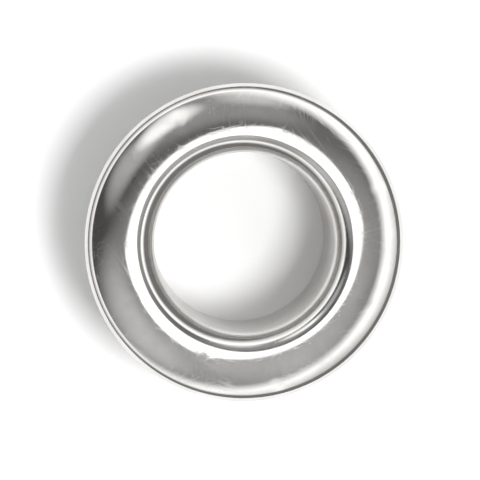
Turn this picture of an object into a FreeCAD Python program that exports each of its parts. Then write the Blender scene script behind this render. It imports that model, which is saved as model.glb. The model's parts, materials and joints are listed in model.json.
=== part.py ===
import FreeCAD, Part

import math
import os

# Grommet eyelet: one piece of thin sheet, drawn into an open barrel that rolls over at its
# throat into a domed flange, whose rim is turned down.
# Millimetres. +Z runs up the barrel's axis. The origin is the middle of the barrel's free end,
# on which the eyelet stands with its flange up.

# Driving dimensions
sheet = 0.35           # thickness of the sheet, the same all over
bore_diameter = 9.6    # clear hole through the barrel
flange_width = 3.7     # from the bore's wall to the outside of the rim
overall_height = 5.8   # from the barrel's free end to the crest of the flange
throat_bend = 0.7      # bend between barrel and flange, on the underside
dome_slope = 23.0      # degrees that the flange has sloped away to where its rim bends down
rim_bend = 0.4         # bend of the turned-down rim, on its inside
rim_slope = 73.0       # degrees that the sheet slopes at the rim's cut edge
nose_length = 1.6      # stretch at the free end that narrows, to enter a punched hole
nose_draw = 0.2        # how much smaller in radius the free end is
nose_bend = 2.0        # bend between the straight barrel and its nose, in the bore

# The throat turns the sheet from upright to level, at the crest.
upright = math.pi / 2
bore_radius = bore_diameter / 2
throat_radius = throat_bend + sheet
crest_radius = bore_radius + throat_radius
throat_height = overall_height - throat_radius
throat_centre = (crest_radius, throat_height)

# The dome leaves the crest level and runs into the rim's bend with no kink. The rim's cut edge
# is the flange's widest circle.
dome_end = math.radians(dome_slope)
rim_end = math.radians(rim_slope)
rim_radius = rim_bend + sheet
rim_run = flange_width - throat_radius - rim_radius * math.sin(rim_end)
dome_radius = rim_radius + rim_run / math.sin(dome_end)
dome_centre = (crest_radius, overall_height - dome_radius)
rim_centre = (crest_radius + rim_run, dome_centre[1] + rim_run / math.tan(dome_end))

# The nose is a cone that the straight barrel bends into.
nose_slope = math.atan(nose_draw / nose_length)
bend_height = nose_length + nose_bend * math.tan(nose_slope / 2)
bend_centre = (bore_radius - nose_bend, bend_height)

# A point of the section on an arc. The angle is measured from +Z towards +X.
def on_arc(centre, radius, angle):
    x = centre[0] + radius * math.sin(angle)
    z = centre[1] + radius * math.cos(angle)
    return FreeCAD.Vector(x, 0, z)

def arc(centre, radius, start, end):
    stations = (start, (start + end) / 2, end)
    return Part.Arc(*[on_arc(centre, radius, angle) for angle in stations]).toShape()

# The section has two sides. Depth is measured through the sheet from the side that shows, which
# is the bore's wall and the flange's top.
def nose_head(depth):
    return on_arc(bend_centre, nose_bend + depth, upright + nose_slope)

def nose_foot(depth):
    head = nose_head(depth)
    return FreeCAD.Vector(head.x - head.z * math.tan(nose_slope), 0, 0)

def rim_edge(depth):
    return on_arc(rim_centre, rim_radius - depth, rim_end)

def side(depth):
    barrel_foot = on_arc(bend_centre, nose_bend + depth, upright)
    barrel_head = on_arc(throat_centre, throat_radius - depth, -upright)
    return [
        Part.makeLine(nose_foot(depth), nose_head(depth)),
        arc(bend_centre, nose_bend + depth, upright + nose_slope, upright),
        Part.makeLine(barrel_foot, barrel_head),
        arc(throat_centre, throat_radius - depth, -upright, 0),
        arc(dome_centre, dome_radius - depth, 0, dome_end),
        arc(rim_centre, rim_radius - depth, dome_end, rim_end),
    ]

# Both sides, joined by the rim's cut edge, square to the sheet, and by the free end, cut square
# to the axis
def section():
    rim_cut = Part.makeLine(rim_edge(0), rim_edge(sheet))
    foot_cut = Part.makeLine(nose_foot(sheet), nose_foot(0))
    return Part.Face(Part.Wire(side(0) + [rim_cut] + side(sheet)[::-1] + [foot_cut]))

def eyelet():
    axis_foot = FreeCAD.Vector(0, 0, 0)
    axis_way = FreeCAD.Vector(0, 0, 1)
    return section().revolve(axis_foot, axis_way, 360)

os.makedirs("parts", exist_ok=True)
eyelet().exportStep("parts/eyelet.step")
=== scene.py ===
import bpy
import json
import math
from mathutils import Matrix, Vector


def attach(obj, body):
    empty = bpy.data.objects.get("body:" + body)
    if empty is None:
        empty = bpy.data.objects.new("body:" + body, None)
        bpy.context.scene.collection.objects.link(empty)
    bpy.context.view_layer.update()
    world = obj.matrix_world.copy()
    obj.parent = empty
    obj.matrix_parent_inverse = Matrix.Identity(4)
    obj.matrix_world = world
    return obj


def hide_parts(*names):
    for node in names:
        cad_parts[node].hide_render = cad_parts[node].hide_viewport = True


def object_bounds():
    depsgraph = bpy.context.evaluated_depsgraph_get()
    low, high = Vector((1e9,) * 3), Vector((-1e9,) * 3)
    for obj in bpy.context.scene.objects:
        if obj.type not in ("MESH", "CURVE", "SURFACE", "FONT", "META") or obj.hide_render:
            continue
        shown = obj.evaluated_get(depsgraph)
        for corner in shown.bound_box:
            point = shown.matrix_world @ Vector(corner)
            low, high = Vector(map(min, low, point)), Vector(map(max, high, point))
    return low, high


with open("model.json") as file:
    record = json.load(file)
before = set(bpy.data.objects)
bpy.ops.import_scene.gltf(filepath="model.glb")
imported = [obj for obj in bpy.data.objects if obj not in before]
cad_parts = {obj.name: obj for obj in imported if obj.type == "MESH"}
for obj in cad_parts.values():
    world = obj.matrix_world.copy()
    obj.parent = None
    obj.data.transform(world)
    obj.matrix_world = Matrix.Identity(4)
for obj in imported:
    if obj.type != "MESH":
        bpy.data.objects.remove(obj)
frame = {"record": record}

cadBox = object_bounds()
millimetre = 0.001
micrometre = 0.000001
print("frame loaded")

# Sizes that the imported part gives, in millimetres
mounts = {mount["name"]: mount["dims"] for mount in frame["record"]["mounts"]}
boreRadius = mounts["bore"]["r_mm"]
barrelRadius = mounts["barrel"]["r_mm"]
rimEdge = round(cadBox[1][0] / millimetre, 3)
crestHeight = round(cadBox[1][2] / millimetre, 3)

# Eyelet: the section of the drawn sheet, turned round +Z. Lengths in millimetres, slopes in degrees.
eyelet = {
    "sheet": round(barrelRadius - boreRadius, 3),
    "boreRadius": boreRadius,
    "flangeWidth": round(rimEdge - boreRadius, 3),      # from the bore's wall to the outside of the rim
    "height": crestHeight,
    "throatBend": 0.7,      # on the underside
    "domeSlope": 23.0,
    "rimBend": 0.4,         # on the inside
    "rimSlope": 73.0,
    "noseLength": 1.6,
    "noseDraw": 0.2,
    "noseBend": 2.0,
    "cutRound": 0.06,       # tumbling takes the sharpness off the cut edges
    "turns": 384,           # faces round the axis
    "arcStep": 3.2,         # degrees of a bend between two rings of the mesh
    "leastArcSteps": 4,     # in a short bend
    "straightSteps": 8,
    "cutSteps": 5,          # round a cut edge's corner
    "wearReach": 0.14,      # how far the rubbed metal reaches from a cut edge
    "dullReach": (4.93, 4.83),      # radius at which the bore's duller wall starts, and is full
}


def onArc(centre, radius, angle):
    return (centre[0] + radius * math.sin(angle), centre[1] + radius * math.cos(angle))


def arcPoints(centre, radius, start, end, steps=None):
    if steps is None:
        steps = max(eyelet["leastArcSteps"], round(abs(math.degrees(end - start)) / eyelet["arcStep"]))
    return [onArc(centre, radius, start + (end - start) * i / steps) for i in range(steps + 1)]


# The points between the two ends of a straight stretch
def linePoints(start, end):
    steps = eyelet["straightSteps"]
    return [(start[0] + (end[0] - start[0]) * i / steps, start[1] + (end[1] - start[1]) * i / steps)
            for i in range(1, steps)]


# A corner between two straight runs, rounded
def cornerPoints(before, corner, after, radius):
    corner = Vector(corner)
    toBefore = (Vector(before) - corner).normalized()
    toAfter = (Vector(after) - corner).normalized()
    half = toBefore.angle(toAfter) / 2
    reach = radius / math.tan(half)
    centre = corner + (toBefore + toAfter).normalized() * radius / math.sin(half)
    first = corner + toBefore * reach - centre
    last = corner + toAfter * reach - centre
    steps = eyelet["cutSteps"]
    points = []
    for i in range(steps + 1):
        mixed = (first * (1 - i / steps) + last * i / steps).normalized() * radius
        points.append(tuple(centre + mixed))
    return points


# The closed section, from the nose up the bore, over the throat and dome, and back underneath
def sectionPoints():
    e = eyelet
    cut = e["cutRound"]
    upright = math.pi / 2
    throatRadius = e["throatBend"] + e["sheet"]
    crest = e["boreRadius"] + throatRadius
    throat = (crest, e["height"] - throatRadius)
    domeEnd = math.radians(e["domeSlope"])
    rimEnd = math.radians(e["rimSlope"])
    rimRadius = e["rimBend"] + e["sheet"]
    rimRun = e["flangeWidth"] - throatRadius - rimRadius * math.sin(rimEnd)
    domeRadius = rimRadius + rimRun / math.sin(domeEnd)
    dome = (crest, e["height"] - domeRadius)
    rim = (crest + rimRun, dome[1] + rimRun / math.tan(domeEnd))
    noseSlope = math.atan(e["noseDraw"] / e["noseLength"])
    nose = (e["boreRadius"] - e["noseBend"],
            e["noseLength"] + e["noseBend"] * math.tan(noseSlope / 2))

    # one side of the sheet, at a depth from the side that shows, and the corner of its nose
    def side(depth, rimStop):
        bend = arcPoints(nose, e["noseBend"] + depth, upright + noseSlope, upright)
        turn = arcPoints(throat, throatRadius - depth, -upright, 0)
        points = (bend + linePoints(bend[-1], turn[0]) + turn
                  + arcPoints(dome, domeRadius - depth, 0, domeEnd)[1:]
                  + arcPoints(rim, rimRadius - depth, domeEnd, rimStop)[1:])
        return points, (bend[0][0] - bend[0][1] * math.tan(noseSlope), 0)

    # the rim's cut edge is square to the sheet, with its two corners rounded
    shownRound, underRound = rimRadius - cut, e["rimBend"] + cut
    shownStop = rimEnd - math.asin(cut / shownRound)
    underStop = rimEnd - math.asin(cut / underRound)
    facing = rimEnd + upright
    rimShown = arcPoints(onArc(rim, shownRound, shownStop), cut, shownStop, facing, e["cutSteps"])
    rimUnder = arcPoints(onArc(rim, underRound, underStop), cut, facing, underStop + math.pi, e["cutSteps"])

    shown, innerFoot = side(0, shownStop)
    under, outerFoot = side(e["sheet"], underStop)
    footOuter = cornerPoints(under[0], outerFoot, innerFoot, cut)
    footInner = cornerPoints(outerFoot, innerFoot, shown[0], cut)
    points = (linePoints(footInner[-1], shown[0]) + shown
              + rimShown[1:] + rimUnder[:-1]
              + under[::-1] + linePoints(under[0], footOuter[0])
              + footOuter + footInner)
    cutCorners = [onArc(rim, rimRadius, rimEnd), onArc(rim, e["rimBend"], rimEnd), innerFoot, outerFoot]
    return points, cutCorners


# Pressing and tumbling leave the sheet a little out of true. Both sides of the sheet move together.
outOfTrue = {
    "from": 6.0,            # radius in millimetres at which it starts
    "over": 2.5,            # and the width over which it grows to its full amount
    "rimDrop": 0.022,       # most that the rim dips, in millimetres
    "rimDraw": 0.016,       # most that the rim is pulled in
    "dropWaves": [(0.30, 2, 0.7), (0.14, 3, 2.1), (0.06, 5, 0.0)],      # size, count round the rim, phase
    "drawWaves": [(0.32, 2, 2.4), (0.18, 3, 0.4)],
    "dingsFrom": 5.3,       # radius, because the barrel has no dings
    "dings": [              # angle in degrees, radius, depth and width in millimetres
        (118, 7.35, 0.016, 0.42),
        (206, 6.95, 0.012, 0.36),
        (283, 7.70, 0.018, 0.46),
        (334, 7.10, 0.010, 0.30),
        (22, 7.60, 0.014, 0.40),
        (251, 6.35, 0.010, 0.34),
    ],
}


def limited(value):
    return max(0.0, min(1.0, value))


def waveShare(waves, angle):
    return 0.5 + sum(size * math.cos(count * angle + phase) for size, count, phase in waves)


def bentPoint(radius, height, angle):
    rimShare = limited((radius - outOfTrue["from"]) / outOfTrue["over"]) ** 2
    drop = outOfTrue["rimDrop"] * waveShare(outOfTrue["dropWaves"], angle) * rimShare
    draw = outOfTrue["rimDraw"] * waveShare(outOfTrue["drawWaves"], angle) * rimShare
    if radius > outOfTrue["dingsFrom"]:
        for dingAngle, dingRadius, depth, width in outOfTrue["dings"]:
            turn = (angle - math.radians(dingAngle) + math.pi) % (2 * math.pi) - math.pi
            away = (turn * dingRadius) ** 2 + (radius - dingRadius) ** 2
            drop += depth * math.exp(-away / (2 * (width / 2) ** 2))
    return radius - draw, height - drop


def buildEyelet():
    points, cutCorners = sectionPoints()
    turns = eyelet["turns"]
    rings = len(points)
    dullStart, dullFull = eyelet["dullReach"]
    verts, wear, dull = [], [], []
    for radius, height in points:
        nearest = min(math.dist((radius, height), corner) for corner in cutCorners)
        wear += [limited(1 - nearest / eyelet["wearReach"])] * turns
        dull += [limited((dullStart - radius) / (dullStart - dullFull))] * turns
        for i in range(turns):
            angle = 2 * math.pi * i / turns
            r, z = bentPoint(radius, height, angle)
            verts.append([length * millimetre for length in (r * math.cos(angle), r * math.sin(angle), z)])
    faces = []
    for ring in range(rings):
        here = ring * turns
        above = (ring + 1) % rings * turns
        for i in range(turns):
            j = (i + 1) % turns
            faces.append((here + i, above + i, above + j, here + j))
    mesh = bpy.data.meshes.new("eyelet_sheet")
    mesh.from_pydata(verts, [], faces)
    mesh.attributes.new("cutEdge", "FLOAT", "POINT").data.foreach_set("value", wear)
    mesh.attributes.new("bore", "FLOAT", "POINT").data.foreach_set("value", dull)
    mesh.polygons.foreach_set("use_smooth", [True] * len(faces))
    mesh.update()
    piece = bpy.data.objects.new("eyelet_sheet", mesh)
    bpy.context.collection.objects.link(piece)
    print("eyelet turned:", rings, "rings,", len(faces), "faces")
    return piece


# Nickel plate: bright, tumbled in bulk, with fine scuffs. Scales are features per millimetre.
nickel = {
    "base": (0.79, 0.78, 0.765, 1),
    "cloudy": (0.70, 0.685, 0.66, 1),
    "rubbed": (0.84, 0.83, 0.81, 1),
    "roughness": (0.055, 0.10),     # clear, and cloudy
    "scuffRoughness": 0.14,         # more of it in a scuff
    "edgeRoughness": 0.20,
    "boreRoughness": 0.30,          # in the bore tumbling polishes least
    "grainHeight": 0.3,             # heights and depths in micrometres
    "scuffDepth": 0.45,
    "pitDepth": 2.2,
    "drawHeight": 1.2,
    "cloudScale": 0.45,
    "cloudRange": (0.35, 0.68),     # of the noise, from clear to cloudy
    "grainScale": 7.0,
    "edgeGrain": (0.3, 0.6),        # of the grain, where a cut edge is rubbed
    "pitScale": 3.2,
    "pitEdge": (0.05, 0.13),        # radius of a pit's floor and of its rim, of a cell
    "pitShare": 0.12,               # share of the cells that have a pit
    "scuffTurns": (17, 52, 88, 121, 160),   # degrees, directions of the scuffs across the flange
    "scuffTilt": (0.3, -0.2),       # radians
    "scuffShift": (7.3, 2.9, 1.1),  # millimetres, so that no two directions are alike
    "scuffStretch": (0.12, 2.6, 2.6),
    "scuffWidth": 0.022,            # of a streak's own width
    "scuffPatches": 0.38,
    "scuffPatchEdge": (0.50, 0.66),
    "scuffShine": 0.5,              # share of the rubbed colour in a scuff
    "scuffsUpright": 0.2,           # share of them on upright walls, which the flange shields
    "uprightSlant": (0.15, 0.5),    # height of the surface's normal, from upright to lying
    "drawStretch": (9.0, 9.0, 0.35),
}


def addNode(tree, kind, links=None, **settings):
    node = tree.nodes.new(kind)
    for name, value in settings.items():
        setattr(node, name, value)
    for socket, source in (links or {}).items():
        if isinstance(source, bpy.types.NodeSocket):
            tree.links.new(source, node.inputs[socket])
        else:
            node.inputs[socket].default_value = source
    return node


def combine(tree, operation, first, second=0.0):
    return addNode(tree, "ShaderNodeMath", {0: first, 1: second}, operation=operation).outputs[0]


# The total and each texture times its own weight
def addWeighed(tree, total, parts):
    for texture, weight in parts:
        total = combine(tree, "ADD", total, combine(tree, "MULTIPLY", texture, weight))
    return total


def fit(tree, source, low, high, toLow=0.0, toHigh=1.0, ramp="LINEAR"):
    node = addNode(tree, "ShaderNodeMapRange", {"Value": source, "From Min": low, "From Max": high,
                                                "To Min": toLow, "To Max": toHigh}, interpolation_type=ramp)
    return node.outputs["Result"]


def noise(tree, place, scale, detail, roughness=0.5):
    node = addNode(tree, "ShaderNodeTexNoise", {"Vector": place, "Scale": scale, "Detail": detail,
                                                "Roughness": roughness})
    return node.outputs["Fac"]


def stretch(tree, place, scale):
    return addNode(tree, "ShaderNodeMapping", {"Vector": place, "Scale": scale}).outputs[0]


def mixColour(tree, share, first, second):
    return addNode(tree, "ShaderNodeMix", {"Factor": share, 6: first, 7: second}, data_type="RGBA").outputs[2]


def heightOf(tree, vector):
    return addNode(tree, "ShaderNodeSeparateXYZ", {0: vector}).outputs["Z"]


# Small round pits in a few of the cells
def makePits(tree, place):
    cells = addNode(tree, "ShaderNodeTexVoronoi", {"Vector": place, "Scale": nickel["pitScale"]}).outputs
    pits = fit(tree, cells["Distance"], *nickel["pitEdge"], 1.0, 0.0)
    lot = addNode(tree, "ShaderNodeSeparateXYZ", {0: cells["Color"]}).outputs["X"]
    chosen = combine(tree, "GREATER_THAN", lot, 1 - nickel["pitShare"])
    return combine(tree, "MULTIPLY", pits, chosen)


# Long thin streaks in a few directions, each in patches of its own
def makeScuffs(tree, place):
    scuffs = 0.0
    shiftX, shiftY, shiftZ = nickel["scuffShift"]
    for number, turn in enumerate(nickel["scuffTurns"]):
        turned = addNode(tree, "ShaderNodeMapping", {
            "Vector": place,
            "Rotation": (*nickel["scuffTilt"], math.radians(turn)),
            "Location": (shiftX * number, shiftY, shiftZ),
        }).outputs[0]
        streak = noise(tree, stretch(tree, turned, nickel["scuffStretch"]), 1.0, detail=1.0)
        fromMiddle = combine(tree, "ABSOLUTE", combine(tree, "SUBTRACT", streak, 0.5))
        line = fit(tree, fromMiddle, 0.0, nickel["scuffWidth"], 1.0, 0.0)
        patches = noise(tree, turned, nickel["scuffPatches"], detail=1.0)
        patches = fit(tree, patches, *nickel["scuffPatchEdge"])
        scuffs = combine(tree, "MAXIMUM", scuffs, combine(tree, "MULTIPLY", line, patches))
    return scuffs


def makeNickelPlate():
    material = bpy.data.materials.new("nickelPlate")
    material.use_nodes = True
    tree = material.node_tree
    shader = tree.nodes["Principled BSDF"]
    shader.inputs["Metallic"].default_value = 1.0

    # the place on the eyelet, in millimetres
    place = stretch(tree, addNode(tree, "ShaderNodeTexCoord").outputs["Object"], [1 / millimetre] * 3)
    cloud = noise(tree, place, nickel["cloudScale"], detail=4.0, roughness=0.55)
    cloud = fit(tree, cloud, *nickel["cloudRange"])
    grain = noise(tree, place, nickel["grainScale"], detail=3.0, roughness=0.6)
    pits = makePits(tree, place)

    # where the sheet stands upright it has draw lines, and few scuffs
    normal = addNode(tree, "ShaderNodeNewGeometry").outputs["Normal"]
    slant = combine(tree, "ABSOLUTE", heightOf(tree, normal))
    upright = fit(tree, slant, *nickel["uprightSlant"], 1.0, 0.0)
    drawLines = noise(tree, stretch(tree, place, nickel["drawStretch"]), 1.0, detail=3.0)
    drawLines = combine(tree, "MULTIPLY", drawLines, upright)
    scuffsKept = fit(tree, upright, 0.0, 1.0, 1.0, nickel["scuffsUpright"])
    scuffs = combine(tree, "MULTIPLY", makeScuffs(tree, place), scuffsKept)

    bore = addNode(tree, "ShaderNodeAttribute", attribute_name="bore").outputs["Fac"]
    edge = addNode(tree, "ShaderNodeAttribute", attribute_name="cutEdge").outputs["Fac"]
    edge = combine(tree, "MULTIPLY", edge, fit(tree, grain, *nickel["edgeGrain"]))

    worn = combine(tree, "MAXIMUM", combine(tree, "MULTIPLY", scuffs, nickel["scuffShine"]), edge)
    tone = mixColour(tree, cloud, nickel["base"], nickel["cloudy"])
    tree.links.new(mixColour(tree, worn, tone, nickel["rubbed"]), shader.inputs["Base Color"])

    roughness = addWeighed(tree, fit(tree, cloud, 0.0, 1.0, *nickel["roughness"]), [
        (scuffs, nickel["scuffRoughness"]),
        (edge, nickel["edgeRoughness"]),
        (bore, nickel["boreRoughness"]),
    ])
    tree.links.new(roughness, shader.inputs["Roughness"])

    relief = addWeighed(tree, 0.0, [
        (grain, nickel["grainHeight"]),
        (scuffs, -nickel["scuffDepth"]),
        (pits, -nickel["pitDepth"]),
        (drawLines, nickel["drawHeight"]),
    ])
    bump = addNode(tree, "ShaderNodeBump", {"Height": relief, "Distance": micrometre, "Strength": 1.0})
    tree.links.new(bump.outputs[0], shader.inputs["Normal"])
    print("nickel plate mixed")
    return material


piece = buildEyelet()
piece.data.materials.append(makeNickelPlate())
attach(piece, "root")
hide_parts("eyelet")

# Floor: plain white sheet under the eyelet, clear from underneath. Lengths in metres.
floor = {
    "size": 1.6,
    "colour": (0.88, 0.88, 0.88, 1),
    "gap": 0.00001,         # below the eyelet's foot
}


def makeFloor():
    half = floor["size"] / 2
    mesh = bpy.data.meshes.new("floor")
    corners = [(-half, -half), (half, -half), (half, half), (-half, half)]
    mesh.from_pydata([(x, y, -floor["gap"]) for x, y in corners], [], [(0, 1, 2, 3)])
    sheet = bpy.data.objects.new("floor", mesh)
    bpy.context.collection.objects.link(sheet)
    material = bpy.data.materials.new("whiteFloor")
    material.use_nodes = True
    tree = material.node_tree
    tree.nodes.clear()
    matt = addNode(tree, "ShaderNodeBsdfDiffuse", {"Color": floor["colour"]}).outputs[0]
    clear = addNode(tree, "ShaderNodeBsdfTransparent").outputs[0]
    below = addNode(tree, "ShaderNodeNewGeometry").outputs["Backfacing"]
    mixed = addNode(tree, "ShaderNodeMixShader", {0: below, 1: matt, 2: clear}).outputs[0]
    addNode(tree, "ShaderNodeOutputMaterial", {"Surface": mixed})
    mesh.materials.append(material)
    print("floor laid")


# Studio: pale walls all round, a dim ceiling with soft glows, and two lamps. Angles in degrees.
studio = {
    "paint": (0.8, 0.8, 0.8, 1),    # of walls, ceiling and glows, times their brightness
    "walls": (1.50, 1.70),          # brightness of the far wall and of the wall towards wallSide
    "wallSide": -20,                # azimuth
    "wallBlend": 0.6,               # cosine to wallSide, either way, within which heights change over
    "wallDark": (0.10, 0.52),       # height below which each of the two is dark, of 1 straight up
    "wallBright": (0.58, 0.72),     # height above which each is bright
    "wallShare": (0.16, 1.15),      # share of its brightness where it is dark, and where bright
    "ceiling": 0.10,
    "ceilingMiddle": (188, 8),      # azimuth, and angle from straight up
    "ceilingReach": 44.4,           # angle from its middle to the walls
    "ceilingBlend": 4,              # angle to each side of that
    "glows": [                      # azimuth, angle from straight up, reach, brightness
        (262, 28, 38, 0.38),
        (322, 25, 30, 0.24),
        (96, 27, 24, 0.34),
        (78, 41, 15, 0.55),
        (224, 33, 22, 0.30),
        (148, 30, 15, 0.50),
        (122, 33, 12, 1.25),
        (22, 28, 26, 0.12),
    ],
    "lamps": {                      # azimuth, angle from straight up, width and height, brightness
        "top": (308, 5.2, 21, 13, 1.0),
        "key": (-33, 24, 20, 20, 16.0),     # throws the shadow, and isn't mirrored
    },
    "lampPower": 4,                 # watts for each square metre and unit of brightness
    "lampDistance": 0.6,            # metres
}


def skyWay(azimuth, fromTop):
    turn, tilt = math.radians(azimuth), math.radians(fromTop)
    return Vector((math.sin(tilt) * math.cos(turn), math.sin(tilt) * math.sin(turn), math.cos(tilt)))


def cosine(degrees):
    return math.cos(math.radians(degrees))


# Cosine between each way of the sky and one that is given
def nearTo(tree, way, azimuth, fromTop):
    return addNode(tree, "ShaderNodeVectorMath", {0: way, 1: skyWay(azimuth, fromTop)},
                   operation="DOT_PRODUCT").outputs["Value"]


def makeSky():
    world = bpy.data.worlds.new("studio")
    bpy.context.scene.world = world
    world.use_nodes = True
    tree = world.node_tree
    tree.nodes.clear()
    way = addNode(tree, "ShaderNodeTexCoord").outputs["Generated"]

    across = nearTo(tree, way, studio["wallSide"], 90)
    blend = studio["wallBlend"]
    dark = fit(tree, across, -blend, blend, *studio["wallDark"])
    bright = fit(tree, across, -blend, blend, *studio["wallBright"])
    walls = combine(tree, "MULTIPLY", fit(tree, across, -1.0, 1.0, *studio["walls"]),
                    fit(tree, heightOf(tree, way), dark, bright, *studio["wallShare"]))

    ceiling = studio["ceiling"]
    for azimuth, fromTop, reach, brightness in studio["glows"]:
        near = nearTo(tree, way, azimuth, fromTop)
        glow = fit(tree, near, cosine(reach), 1.0, 0.0, brightness, "SMOOTHSTEP")
        ceiling = combine(tree, "ADD", glow, ceiling)

    reach, blend = studio["ceilingReach"], studio["ceilingBlend"]
    level = fit(tree, nearTo(tree, way, *studio["ceilingMiddle"]),
                cosine(reach + blend), cosine(reach - blend), walls, ceiling)
    lit = addNode(tree, "ShaderNodeBackground", {"Color": studio["paint"], "Strength": level}).outputs[0]
    white = addNode(tree, "ShaderNodeBackground", {"Color": (1, 1, 1, 1), "Strength": 1.0}).outputs[0]
    isCamera = addNode(tree, "ShaderNodeLightPath").outputs["Is Camera Ray"]
    mixed = addNode(tree, "ShaderNodeMixShader", {0: isCamera, 1: lit, 2: white}).outputs[0]
    addNode(tree, "ShaderNodeOutputWorld", {"Surface": mixed})
    print("sky painted with", len(studio["glows"]), "glows")


def hangLamps():
    distance = studio["lampDistance"]
    for name, (azimuth, fromTop, width, tall, brightness) in studio["lamps"].items():
        lamp = bpy.data.lights.new(name, "AREA")
        lamp.shape = "RECTANGLE"
        lamp.size = 2 * distance * math.tan(math.radians(width / 2))
        lamp.size_y = 2 * distance * math.tan(math.radians(tall / 2))
        lamp.energy = brightness * studio["lampPower"] * lamp.size * lamp.size_y
        softbox = bpy.data.objects.new(name, lamp)
        bpy.context.collection.objects.link(softbox)
        towards = skyWay(azimuth, fromTop)
        softbox.location = towards * distance
        softbox.rotation_euler = towards.to_track_quat("Z", "Y").to_euler()
        softbox.visible_glossy = name != "key"
    print("studio lit with", len(studio["lamps"]), "lamps")


# Camera: long lens, almost straight above, a little to the upper left. Lengths in metres.
camera = {
    "azimuth": 130,
    "elevation": 84,
    "distance": 0.4,
    "across": 0.0255,       # width that the picture spans at the aim
    "aim": (-0.0002, 0.0001, 0.0045),
    "sensor": 36,           # millimetres
    "clipStart": 0.01,
}


def makeCamera():
    data = bpy.data.cameras.new("camera")
    data.sensor_width = camera["sensor"]
    data.lens = camera["sensor"] * camera["distance"] / camera["across"]
    data.clip_start = camera["clipStart"]
    eye = bpy.data.objects.new("camera", data)
    bpy.context.collection.objects.link(eye)
    back = skyWay(camera["azimuth"], 90 - camera["elevation"])
    right = Vector((0, 1, 0)).cross(back).normalized()      # the picture's top is +Y
    above = back.cross(right)
    rotation = Matrix((right, above, back)).transposed().to_4x4()
    eye.matrix_world = Matrix.Translation(Vector(camera["aim"]) + back * camera["distance"]) @ rotation
    bpy.context.scene.camera = eye
    print("camera set")


makeFloor()
makeSky()
hangLamps()
makeCamera()
bpy.context.scene.view_settings.view_transform = "Standard"
